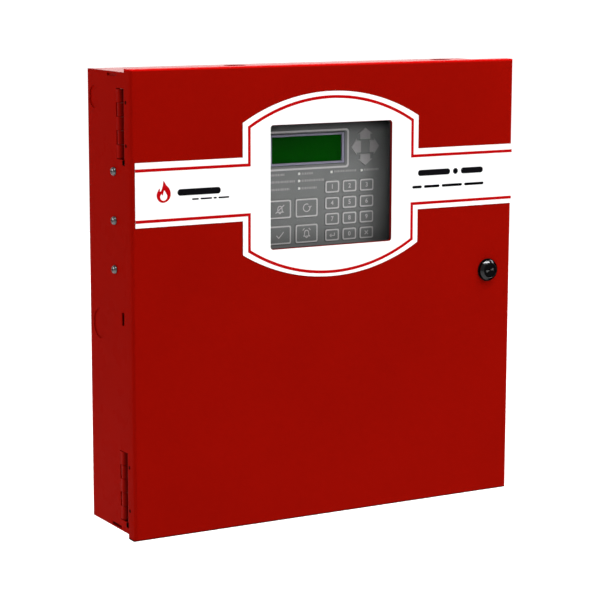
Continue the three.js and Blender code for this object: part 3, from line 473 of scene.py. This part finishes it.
bm = bmesh.new()
bars(bm, [(-161.5, -117.5)], 101.4, 107.4, ON_LABEL)
bars(bm, [(-146.8, -140.0), (-138.2, -126.5), (-124.8, -121.6), (-119.8, -108.8)], 96.9, 98.4, ON_LABEL)
bars(bm, [(96.5, 133.5), (137.0, 142.6), (146.2, 172.0)], 106.2, 112.0, ON_LABEL)
bars(bm, [(90.2, 101.0), (103.6, 121.4), (124.2, 147.6), (150.4, 173.0)], 94.4, 97.0, ON_LABEL)
place("label_text_bars", bm, PRINT_BLACK, "door", "label_white", smooth=20)


# ------------------------------------------------------------------ lock

LOCK_X, LOCK_Z = 179.6, 9.0
SHUTTER_TILT = math.radians(13)
plug_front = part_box("lock_plug")[0].y / MM
# Profiles as radius and depth: the hollow lock body with its chamfered head, and the flat ring under it.
LOCK_BODY = [(7.2, FRONT + 22.5), (7.2, FRONT - 5.3), (7.4, FRONT - 5.4), (7.6, FRONT - 5.36),
             (9.85, FRONT - 3.36), (10.12, FRONT - 3.05), (10.2, FRONT - 2.7), (10.2, FRONT - 1.4),
             (10.0, FRONT - 1.1), (9.0, FRONT - 1.1), (9.0, FRONT + 22.5), (7.2, FRONT + 22.5)]
TRIM_RING = [(9.3, FRONT - 0.3), (9.3, FRONT - 0.8), (11.0, FRONT - 0.8), (11.2, FRONT - 0.7),
             (11.3, FRONT - 0.5), (11.3, FRONT - 0.3), (9.3, FRONT - 0.3)]
bm = bmesh.new()
lathe(bm, LOCK_BODY, (LOCK_X, 0, LOCK_Z))
place("lock_body_finished", bm, DARK_NICKEL, "door", "chrome", ("lock_body",), smooth=24)
bm = bmesh.new()
lathe(bm, TRIM_RING, (LOCK_X, 0, LOCK_Z))
place("lock_trim_ring_finished", bm, PLUG_BLACK, "door", "black_plastic", ("lock_trim_ring",), smooth=30)
refine("lock_plug", PLUG_BLACK, bevel=0.00025, segments=3, slot="black_plastic")
bm = bmesh.new()
across, along = math.cos(SHUTTER_TILT), math.sin(SHUTTER_TILT)
for side in (-1, 1):
    wing = [(side * 0.7, -0.25), (side * 3.9, -1.2), (side * 4.5, 0), (side * 3.9, 1.2), (side * 0.7, 0.25)]
    turned = [(LOCK_X + x * across - z * along, LOCK_Z + x * along + z * across) for x, z in wing]
    plate(bm, turned, plug_front - 0.12, plug_front + 0.05)
place("lock_keyway_shutter", bm, SHUTTER, "lock", "chrome", smooth=20)


# ------------------------------------------------------------------ display and keypad

refine("display_bracket", BRACKET, bevel=0.0003, slot="bracket_grey")
refine("keypad_overlay", OVERLAY, bevel=0.00008, slot="overlay_grey")
refine("lcd_bezel", LCD_FRAME, bevel=0.00025, slot="lcd_frame")
refine("lcd_glass", LCD_GLASS, bevel=0.0001, slot="lcd_green")
refine("led_light_guide", LIGHT_GUIDE, bevel=0.0001, slot="light_guide")

# The film has a painted shade along its top edge.
shade_along(OVERLAY, "Z", 0.1480, 0.1600, (0.020, 0.020, 0.020))
overlay_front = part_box("keypad_overlay")[0].y / MM
ON_OVERLAY = (overlay_front - 0.05, overlay_front - 0.01)
bm = bmesh.new()
plate(bm, rounded(-60.9, 31.1, 116.25, 153.4, 3.2), *ON_OVERLAY,
      holes=[rounded(-59.0, 29.2, 118.0, 151.7, 2.2)])
place("overlay_print", bm, PRINT_GREY, "cabinet", "overlay_grey", smooth=20)

# Rows of short dashes beside the lamps: each row's two ends and its height.
LEGEND_ROWS = [(-56, -38.8, 112.5), (-56, -28.0, 105.8), (-56, -34.1, 98.7), (-20.9, -7.7, 112.5),
               (-20.9, 4.3, 105.8), (-20.9, -3.8, 98.7), (14.9, 40.1, 112.9), (47.9, 65.0, 112.9)]
DASH_WIDTHS = (1.5, 0.9, 1.8, 1.2, 1.4)
DASH_GAP, DASH_HALF_HEIGHT, SHORTEST_DASH = 0.55, 1.05, 0.6
bm = bmesh.new()
for x0, x1, z in LEGEND_ROWS:
    x, step = x0, 0
    while x < x1 - SHORTEST_DASH:
        wide = DASH_WIDTHS[step % len(DASH_WIDTHS)]
        dash = rounded(x, min(x + wide, x1), z - DASH_HALF_HEIGHT, z + DASH_HALF_HEIGHT, 0.3, 2)
        plate(bm, dash, *ON_OVERLAY)
        x, step = x + wide + DASH_GAP, step + 1
place("overlay_legend", bm, PRINT_DIM, "cabinet", "overlay_grey", smooth=20)


def digit(bm, text, x, z, y, size):
    """Adds one printed character, centred at (x, z), facing forwards."""
    curve = bpy.data.curves.new("digit", "FONT")
    curve.body = text
    curve.size = size * MM
    curve.align_x, curve.align_y = "CENTER", "CENTER"
    curve.extrude = 0.00002
    curve.offset = 0.00010
    curve.resolution_u = 3
    holder = bpy.data.objects.new("digit", curve)
    bpy.context.scene.collection.objects.link(holder)
    bpy.context.view_layer.update()
    mesh = bpy.data.meshes.new_from_object(holder.evaluated_get(bpy.context.evaluated_depsgraph_get()))
    mesh.transform(Matrix.Translation((x * MM, y * MM, z * MM)) @ Matrix.Rotation(math.radians(90), 4, "X"))
    bm.from_mesh(mesh)
    bpy.data.objects.remove(holder)
    bpy.data.meshes.remove(mesh)
    bpy.data.curves.remove(curve)


def arc(cx, cz, r, first, last, steps=14):
    """Points along part of a circle, angles in degrees."""
    angles = [math.radians(first + (last - first) * i / steps) for i in range(steps + 1)]
    return [(cx + r * math.cos(a), cz + r * math.sin(a)) for a in angles]


BELL = [(-3.4, -2.6), (-2.4, -1.6), *arc(0, 0.8, 2.2, 180, 0, 10), (2.4, -1.6), (3.4, -2.6)]
PICTOGRAMS = {
    "enter": [[(2.6, 2.0), (2.6, -0.6), (-2.2, -0.6)], [(-0.8, 0.9), (-2.4, -0.6), (-0.8, -2.1)]],
    "clear": [[(-1.8, -1.8), (1.8, 1.8)], [(-1.8, 1.8), (1.8, -1.8)]],
    "silence": [BELL + [(-3.4, -2.6)], arc(0, -3.0, 1.0, 180, 360, 6), [(-4.6, -3.6), (4.6, 4.0)]],
    "drill": [BELL + [(-3.4, -2.6)], arc(0, -3.0, 1.0, 180, 360, 6), arc(0, 0.6, 4.8, 30, 62, 5),
              arc(0, 0.6, 4.8, 118, 150, 5)],
    "reset": [arc(0, 0, 3.6, 60, 360, 20), [(2.1, 1.5), (3.6, 0.0), (5.1, 1.5)]],
    "acknowledge": [[(-3.8, -0.2), (-1.2, -2.8), (4.0, 2.8)]],
}
STROKE_WIDTH, DIGIT_SIZE = 0.9, 6.0
for name in sorted(n for n in NODES if n.startswith("key_")):
    body = NODES[name]["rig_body"]
    low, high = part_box(name)
    x0, x1, z0, z1 = low.x / MM, high.x / MM, low.z / MM, high.z / MM
    front = low.y / MM
    refine(name, PRINT_DIM if "arrow" in name else KEY_FILM, bevel=0.00012, slot="key_film")
    if "arrow" in name:
        continue
    label = name.removeprefix("key_")
    on_key = (front - 0.05, front - 0.01)
    bm = bmesh.new()
    plate(bm, rounded(x0 + 0.25, x1 - 0.25, z0 + 0.25, z1 - 0.25, 1.9), *on_key,
          holes=[rounded(x0 + 1.65, x1 - 1.65, z0 + 1.65, z1 - 1.65, 1.2)])
    cx, cz = (x0 + x1) / 2, (z0 + z1) / 2
    if label in PICTOGRAMS:
        for stroke in PICTOGRAMS[label]:
            line(bm, [(cx + x, cz + z) for x, z in stroke], STROKE_WIDTH, *on_key)
    else:
        digit(bm, label, cx, cz, front - 0.03, DIGIT_SIZE)
    place(f"print_{name}", bm, PRINT_GREY, body, "key_film", smooth=20)


# ------------------------------------------------------------------ electronics behind the door

for name in ("display_board", "main_board"):
    refine(name, PCB, bevel=0.00015, slot="circuit_board")
for name in ("terminal_strip_top", "terminal_strip_side"):
    refine(name, TERMINAL, bevel=0.0003, slot="terminal_green")
for name in ("battery_left", "battery_right"):
    refine(name, BATTERY, bevel=0.0012, segments=3, slot="battery_case")
refine("battery_jumper", BLACK_WIRE, bevel=0.0, slot="black_wire")
refine("battery_lead_black", BLACK_WIRE, bevel=0.0, slot="black_wire")
refine("battery_lead_red", RED_WIRE, bevel=0.0, slot="red_wire")

FACE = -13.0
silicon, leads = bmesh.new(), bmesh.new()


def chip(x, z, w, h, rise=2.2, pitch=1.6):
    """An integrated circuit with a row of bent leads down both long sides."""
    left, top, face = x - w / 2, z + h / 2, FACE - rise
    brick(silicon, (left, x + w / 2), (face, FACE - 0.3), (z - h / 2, top), 0.25)
    brick(leads, (left + 0.8, left + 1.6), (face - 0.02, face + 0.1), (top - 1.6, top - 0.8))
    count = int((h - 0.8) / pitch)
    for side in (-1, 1):
        edge = x + side * w / 2
        for i in range(count):
            cz = z + (i - (count - 1) / 2) * pitch
            inner, outer = sorted((edge - side * 0.1, edge + side * 0.9))
            brick(leads, (inner, outer), (FACE - rise * 0.62, FACE - rise * 0.5), (cz - 0.28, cz + 0.28))
            foot = sorted((edge + side * 0.6, edge + side * 1.7))
            brick(leads, foot, (FACE - rise * 0.55, FACE - 0.05), (cz - 0.28, cz + 0.28))


for spec in ((-46, 60, 10, 26), (-20, 66, 7.5, 18), (-2, 66, 7.5, 18), (104, 30, 20, 20, 2.0, 0.9),
             (104, -12, 8, 12), (134, 62, 12, 30, 3.0, 2.3), (134, 22, 7.5, 18), (0, -44, 7.5, 12),
             (24, -44, 7.5, 12), (86, -44, 7.5, 14)):
    chip(*spec)
place("board_chips", silicon, CHIP, "cabinet", "circuit_board", smooth=30)

# Small passives, spread over the board and kept clear of the screened part, the header and the heat sink.
KEPT_CLEAR = ((14, 84, -12, 50), (-56, -16, -76, -44), (114, 178, -66, -46))
passives = [(-60 + (i * 37) % 226, -84 + (i * 53) % 190) for i in range(46)]
passives = [(x, z) for x, z in passives if not any(a < x < b and c < z < d for a, b, c, d in KEPT_CLEAR)]
for x, z in passives:
    brick(leads, (x - 1.0, x - 0.5), (FACE - 0.75, FACE - 0.05), (z - 0.6, z + 0.6))
    brick(leads, (x + 0.5, x + 1.0), (FACE - 0.75, FACE - 0.05), (z - 0.6, z + 0.6))
BOARD_SCREW = [(0, FACE - 2.6), (1.6, FACE - 2.5), (3.0, FACE - 1.9), (3.6, FACE - 0.9), (3.6, FACE - 0.05),
               (0, FACE - 0.05)]
for x in (-62, 182):
    for z in (-84, 152):
        lathe(leads, BOARD_SCREW, (x, 0, z), segments=32)
CLAMP_SCREW = [(0, -24.6), (2.1, -24.6), (2.4, -24.2), (2.4, -22.0), (0, -22.0)]
for x, z in [(-45 + i * 10, 148.9) for i in range(22)] + [(175.1, -25 + i * 10) for i in range(15)]:
    lathe(leads, CLAMP_SCREW, (x, 0, z), segments=20)
place("board_metal", leads, TIN, "cabinet", "zinc_plate", smooth=30)

bm = bmesh.new()
for x, z in passives:
    brick(bm, (x - 0.6, x + 0.6), (FACE - 0.7, FACE - 0.05), (z - 0.6, z + 0.6), 0.1)
place("board_passives", bm, CHIP, "cabinet", "circuit_board", smooth=30)

bm = bmesh.new()
for i in range(7):
    x = -34 + i * 27
    brick(bm, (x - 9.5, x + 9.5), (FACE - 15.5, FACE - 0.4), (112, 127), 0.7)
place("board_relays", bm, RELAY_BLUE, "cabinet", "circuit_board", smooth=30)

# Capacitors, each a sleeved can with a bare metal top: place across and up, radius and height.
CAPACITORS = [(-58, 18, 5, 16), (-44, 18, 5, 16), (-58, 2, 5, 16), (-44, 2, 5, 16), (150, -28, 8, 26),
              (128, -28, 8, 26), (0, 24, 3.2, 9), (0, 10, 3.2, 9), (-58, -34, 6.3, 20), (104, -76, 5, 14)]
sleeves, tops = bmesh.new(), bmesh.new()
for x, z, r, h in CAPACITORS:
    lathe(sleeves, [(0, FACE - h + 0.5), (r - 1.6, FACE - h + 0.5), (r - 1.3, FACE - h), (r - 0.5, FACE - h),
                    (r, FACE - h + 0.6), (r, FACE - 2.2), (r - 0.35, FACE - 1.8), (r, FACE - 1.3),
                    (r, FACE - 0.3), (0, FACE - 0.3)], (x, 0, z), segments=40)
    lathe(tops, [(0, FACE - h + 0.44), (r - 1.3, FACE - h - 0.04), (r - 0.7, FACE - h - 0.04),
                 (r - 0.7, FACE - h + 0.3), (0, FACE - h + 0.6)], (x, 0, z), segments=40)
place("board_capacitors", sleeves, BLACK_PLASTIC, "cabinet", "black_plastic", smooth=30)
place("board_capacitor_tops", tops, TIN, "cabinet", "zinc_plate", smooth=30)

bm = bmesh.new()
for x0, x1, z0, z1, rise in ((-66, -56, 70, 96, 9), (-8, 26, -88, -80, 9), (44, 74, -88, -80, 9),
                             (30, 66, 70, 78, 8.5), (60, 98, 96, 103, 8), (-50, -10, -87, -77, 5)):
    plate(bm, rounded(x0, x1, z0, z1, 0.8), FACE - rise, FACE - 0.1,
          holes=[rounded(x0 + 1.2, x1 - 1.2, z0 + 1.2, z1 - 1.2, 0.5)])
    brick(bm, (x0 + 1, x1 - 1), (FACE - 2, FACE - 0.1), (z0 + 1, z1 - 1))
place("board_headers", bm, LIGHT_GUIDE, "cabinet", "light_guide", smooth=30)

# The heat sink's fins and base, and the screening can.
bm = bmesh.new()
for i in range(9):
    x = 121 + i * 6.1
    brick(bm, (x, x + 1.6), (-37.5, FACE - 0.5), (-67, -52.5), 0.2)
brick(bm, (119, 173), (-38.2, FACE - 0.3), (-54.5, -51.5), 0.3)
place("board_heat_sink", bm, BRACKET, "cabinet", "zinc_plate", smooth=30)
bm = bmesh.new()
brick(bm, (19.8, 78.2), (-24.3, FACE - 0.2), (-6.2, 44.2), 0.6)
place("board_screening_can", bm, TIN, "cabinet", "zinc_plate", smooth=30)

# Pale labels on the batteries and the screening can, with plain bars on them.
ON_BATTERY, ON_CAN = (-67.0, -66.96), (-24.47, -24.43)
bm = bmesh.new()
for side in (-1, 1):
    x0, x1 = sorted((side * 14, side * 145))
    plate(bm, rounded(x0, x1, -190, -136, 3), -66.95, -66.82)
plate(bm, rounded(26, 72, 4, 34, 1.5), -24.42, -24.31)
place("plain_labels", bm, LABEL, "cabinet", "label_white", smooth=20)
bm = bmesh.new()
for side in (-1, 1):
    centre = side * 79.5
    for left, right, z, tall in ((-52, 52, -144, 5), (-38, 38 * 0.2, -155, 2), (-44, 44 * 0.2, -162, 2),
                                 (-30, 30 * 0.2, -169, 2), (-48, 48, -182, 3)):
        bars(bm, [(centre + left, centre + right)], z - tall / 2, z + tall / 2, ON_BATTERY)
bars(bm, [(30, 56), (58, 66)], 26, 29, ON_CAN)
bars(bm, [(30, 62)], 18, 19.6, ON_CAN)
bars(bm, [(30, 50)], 12, 13.6, ON_CAN)
place("plain_label_bars", bm, PRINT_BLACK, "cabinet", "label_white", smooth=20)

# Battery lid ribs and moulded edges.
bm = bmesh.new()
for side in (-1, 1):
    x0, x1 = sorted((side * 4, side * 155))
    for z in (-121.5, -203.5):
        brick(bm, (x0 - 0.15, x1 + 0.15), (-67.2, -1.7), (z - 0.9, z + 0.9), 0.3)
place("battery_ribs", bm, BATTERY, "cabinet", "battery_case", smooth=30)

# Transformer: a laminated core, a taped winding that shows above and below it, and a steel mounting strap.
bm = bmesh.new()
for i in range(25):
    y0 = -56 + i * 2.0
    brick(bm, (-192, -112), (y0, y0 + 1.8), (-84, -28), 0.15)
place("transformer_core", bm, LAMINATIONS, "cabinet", "core_steel", ("transformer",), smooth=30)
bm = bmesh.new()
brick(bm, (-178, -126), (-60, -8), (-27.7, -14), 4.0)
brick(bm, (-178, -126), (-60, -8), (-98, -84.3), 4.0)
place("transformer_winding", bm, AMBER, "cabinet", "core_steel", smooth=40)
bm = bmesh.new()
brick(bm, (-199, -105), (-9, -1.6), (-70, -42), 0.5)
brick(bm, (-193, -111), (-57.2, -56.1), (-66, -46), 0.4)
brick(bm, (-193.2, -192.1), (-57.2, -4), (-66, -46), 0.4)
brick(bm, (-111.9, -110.8), (-57.2, -4), (-66, -46), 0.4)
for x in (-195.5, -108.5):
    lathe(bm, [(0, -12), (2.6, -11.8), (3.6, -10.8), (3.6, -9.0), (0, -9.0)], (x, 0, -56), segments=6)
place("transformer_strap", bm, ZINC, "cabinet", "zinc_plate", smooth=30)


# ------------------------------------------------------------------ studio

def area_light(name, location, target, size, power, depth=None):
    """Adds a soft rectangular light that faces a target."""
    lamp = bpy.data.lights.new(name, "AREA")
    lamp.shape = "RECTANGLE"
    lamp.size, lamp.size_y = size, depth or size
    lamp.energy = power
    holder = bpy.data.objects.new(name, lamp)
    holder.location = location
    holder.rotation_euler = (Vector(target) - Vector(location)).to_track_quat("-Z", "Y").to_euler()
    bpy.context.scene.collection.objects.link(holder)


area_light("key_light", (1.9, -2.3, 2.4), (0, 0, 0), 1.5, 72)
area_light("top_strip_light", (0.35, -1.6, 3.4), (0, 0, 0), 3.8, 100, 0.26)
area_light("right_strip_light", (2.7, 0.05, 1.45), (0, 0, 0), 0.45, 90, 2.2)
area_light("side_light", (-2.7, 0.9, 1.1), (0, 0, 0), 1.2, 38)
area_light("backdrop_light", (2.6, 4.4, 2.6), (2.6, 4.4, 0), 4.0, 190)
area_light("rim_light", (2.7, 4.7, 1.75), (0, 0, 0.2), 2.6, 26)

FLOOR_RADIUS, FLOOR_HEIGHT = 6, -0.75
bm = bmesh.new()
bmesh.ops.create_circle(bm, cap_ends=True, segments=96, radius=FLOOR_RADIUS)
for v in bm.verts:
    v.co.z = FLOOR_HEIGHT
mesh = bpy.data.meshes.new("studio_floor")
bm.to_mesh(mesh)
bm.free()
mesh.materials.append(FLOOR)
floor = bpy.data.objects.new("studio_floor", mesh)
bpy.context.scene.collection.objects.link(floor)

# A pale room whose far side, behind the panel, is lit brighter.
world = bpy.data.worlds.new("studio")
bpy.context.scene.world = world
world.use_nodes = True
tree = world.node_tree
sky = tree.nodes["Background"]
direction = tree.nodes.new("ShaderNodeTexCoord")
towards = tree.nodes.new("ShaderNodeVectorMath")
towards.operation = "DOT_PRODUCT"
towards.inputs[1].default_value = (0.496, 0.868, 0.0)
spread = tree.nodes.new("ShaderNodeMapRange")
spread.interpolation_type = "SMOOTHSTEP"
spread.inputs["From Min"].default_value = 0.45
spread.inputs["From Max"].default_value = 0.85
spread.inputs["To Min"].default_value = 0.37
spread.inputs["To Max"].default_value = 1.15
tree.links.new(direction.outputs["Generated"], towards.inputs[0])
tree.links.new(towards.outputs["Value"], spread.inputs["Value"])
tree.links.new(spread.outputs["Result"], sky.inputs["Strength"])
sky.inputs["Color"].default_value = (1, 1, 1, 1)

CAMERA_PLACE = (-0.99694, -1.78174, 0.32063)
CAMERA_RIGHT = Vector((0.868434, -0.495798, 0.002449))
CAMERA_UP = Vector((0.079724, 0.144516, 0.986286))
CAMERA_FORWARD = Vector((0.489352, 0.856329, -0.16503))
lens = bpy.data.cameras.new("camera")
lens.lens = 125.513
lens.sensor_width = 36
lens.clip_start, lens.clip_end = 0.1, 50
camera = bpy.data.objects.new("camera", lens)
turn = Matrix((CAMERA_RIGHT, CAMERA_UP, -CAMERA_FORWARD)).transposed().to_4x4()
camera.matrix_world = Matrix.Translation(CAMERA_PLACE) @ turn
bpy.context.scene.collection.objects.link(camera)
bpy.context.scene.camera = camera
bpy.context.scene.view_settings.view_transform = "Standard"
